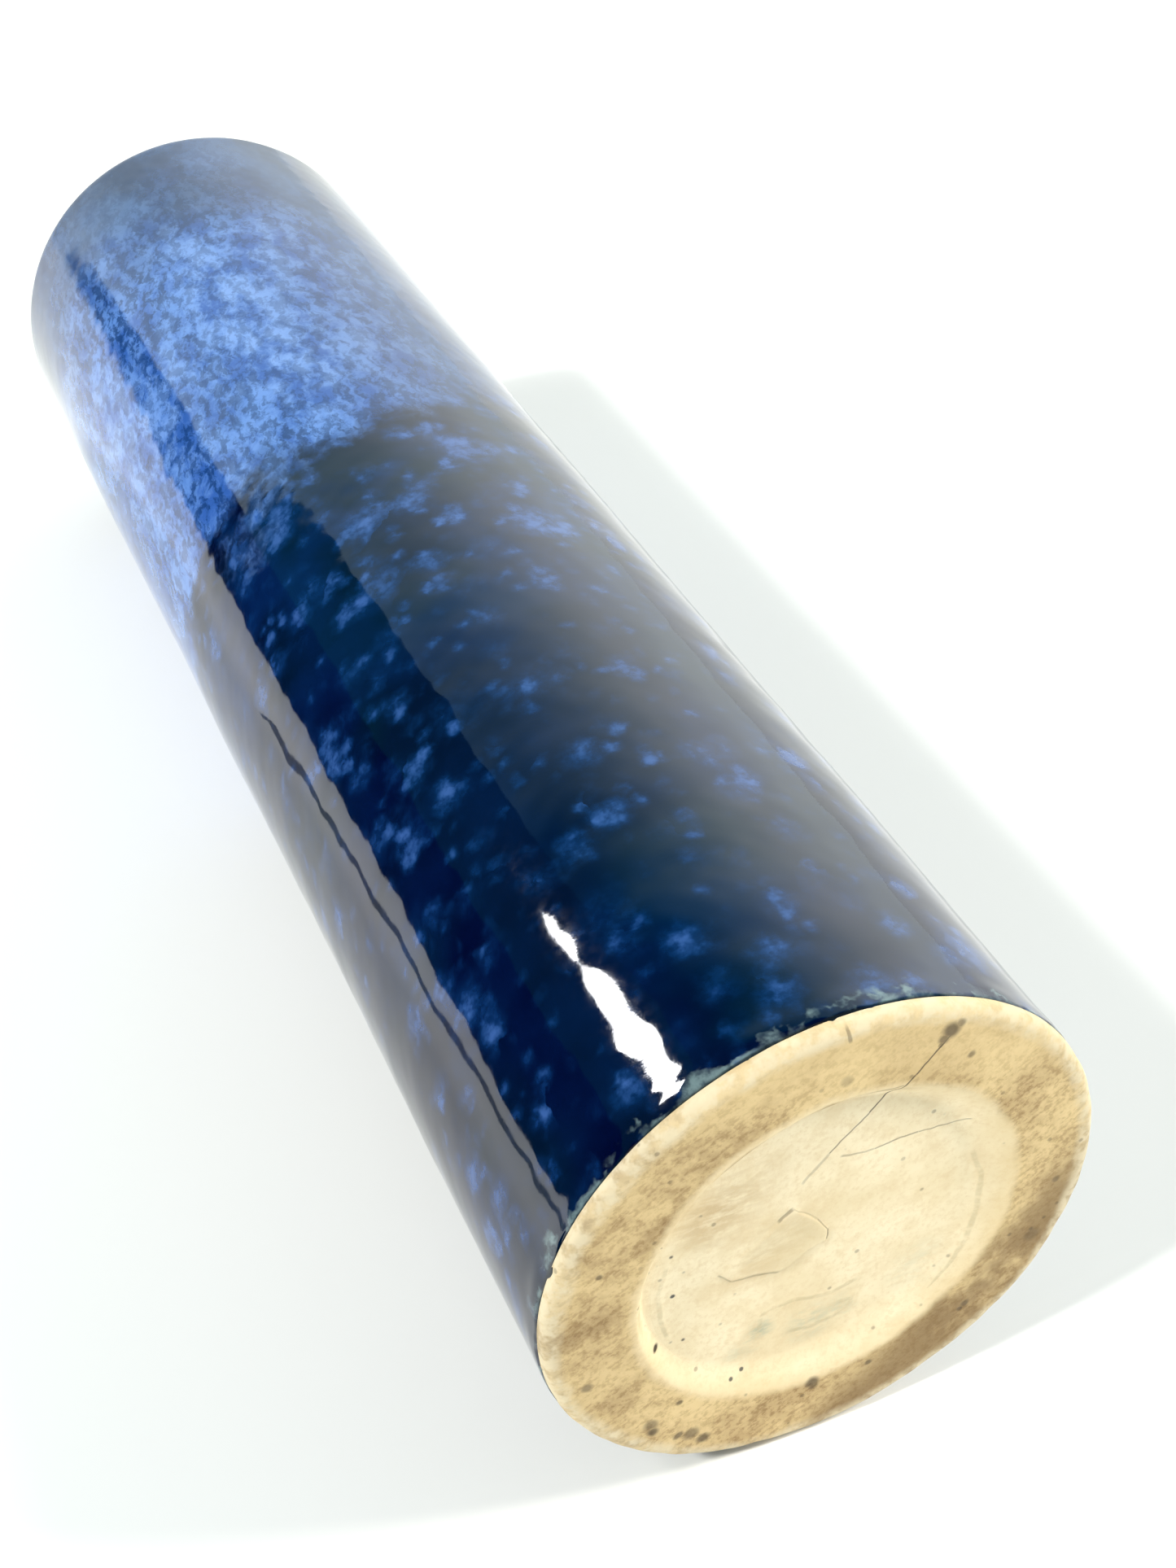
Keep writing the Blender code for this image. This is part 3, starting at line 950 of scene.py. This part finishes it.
def world():
    """Soft light from all round: a bright horizon under a dark ceiling, brighter on the right."""
    n = Nodes("studio", world=True)
    direction = n.place.outputs["Generated"]
    side = n.vector("DOT_PRODUCT", direction, (0.6, 0.6, -1.0))
    _, back, up = n.split(direction)
    # Dimmer straight behind the vase, and where it meets the floor
    dimmed = n.times(n.step(back, 0.70, 0.93, 1.0, 0.66), n.step(up, 0.0, 0.20, 0.84, 1.0))
    channels = [n.times(n.step(side, *ramp), dimmed) for ramp in SKY]
    colour = n.node("ShaderNodeCombineColor", dict(enumerate(channels))).outputs[0]
    bpy.context.scene.world = n.glow("ShaderNodeBackground", colour, 1.0)


COOL_TINT = (0.98, 0.985, 0.945)
WARM_TINT = (1.0, 0.945, 0.875)
# Distant lights: the way towards each, irradiance, width in degrees, tint, whether reflections see it
SUNS = {
    "key": ((-0.72, -0.12, 0.68), 2.70, 6, COOL_TINT, True),
    "overhead": ((0.0, 0.0, 1.0), 0.35, 70, COOL_TINT, False),
    "right_fill": ((0.784, -0.22, 0.58), 3.05, 14, WARM_TINT, False),
    "front_fill": ((-0.30, -0.86, 0.42), 0.78, 40, COOL_TINT, False),
}


def lamp(name, kind, towards):
    """A light that the camera doesn't see. towards is the way from the vase to it."""
    data = bpy.data.lights.new(name, kind)
    made = bpy.data.objects.new(name, data)
    made.rotation_euler = Vector(towards).to_track_quat("Z", "Y").to_euler()
    made.visible_camera = False
    bpy.context.scene.collection.objects.link(made)
    return made


def suns():
    for name, (towards, irradiance, width, tint, glossy) in SUNS.items():
        made = lamp(name, "SUN", towards)
        made.data.energy = irradiance
        made.data.angle = math.radians(width)
        made.data.color = tint
        made.visible_glossy = glossy


def window():
    """A small bright window, whose reflection is the highlight by the foot."""
    aim = Vector((-0.54 * RADIUS, FOOT_Y + 12 * MM, AXIS_Z + 0.83 * RADIUS))
    way = Vector((-0.53, 0.63, 0.567)).normalized()
    made = lamp("window", "AREA", way)
    made.location = aim + way * 0.36
    made.data.shape = "RECTANGLE"
    made.data.size, made.data.size_y = 0.045, 0.065
    made.data.energy = 0.39


def camera():
    """The viewpoint: in front of the foot, to its left and above."""
    azimuth, elevation = math.radians(-23.7), math.radians(38.6)
    aim_back = Vector((
        math.sin(azimuth) * math.cos(elevation),
        -math.cos(azimuth) * math.cos(elevation),
        math.sin(elevation),
    ))
    data = bpy.data.cameras.new("camera")
    data.sensor_width = 36.0
    data.lens = 48.17
    data.clip_start = 0.01
    eye = bpy.data.objects.new("camera", data)
    # Its place is in radii from the axis, level with the glaze's lower edge
    edge_y = FOOT_Y + 1.4 * MM
    eye.location = (-2.441 * RADIUS, edge_y - 3.677 * RADIUS, AXIS_Z + 5.330 * RADIUS)
    eye.rotation_euler = aim_back.to_track_quat("Z", "Y").to_euler()
    bpy.context.scene.collection.objects.link(eye)
    bpy.context.scene.camera = eye


def main():
    bpy.context.scene.view_settings.view_transform = "Standard"
    camera()
    glaze_coat(glaze_material())
    clay_body(foot_material("foot_clay", 0.58, 1.0))
    recess_disc(foot_material("recess_clay", 0.0, 0.66))
    liner_coat(liner_material())
    floor()
    backdrop()
    cards()
    world()
    suns()
    window()


main()
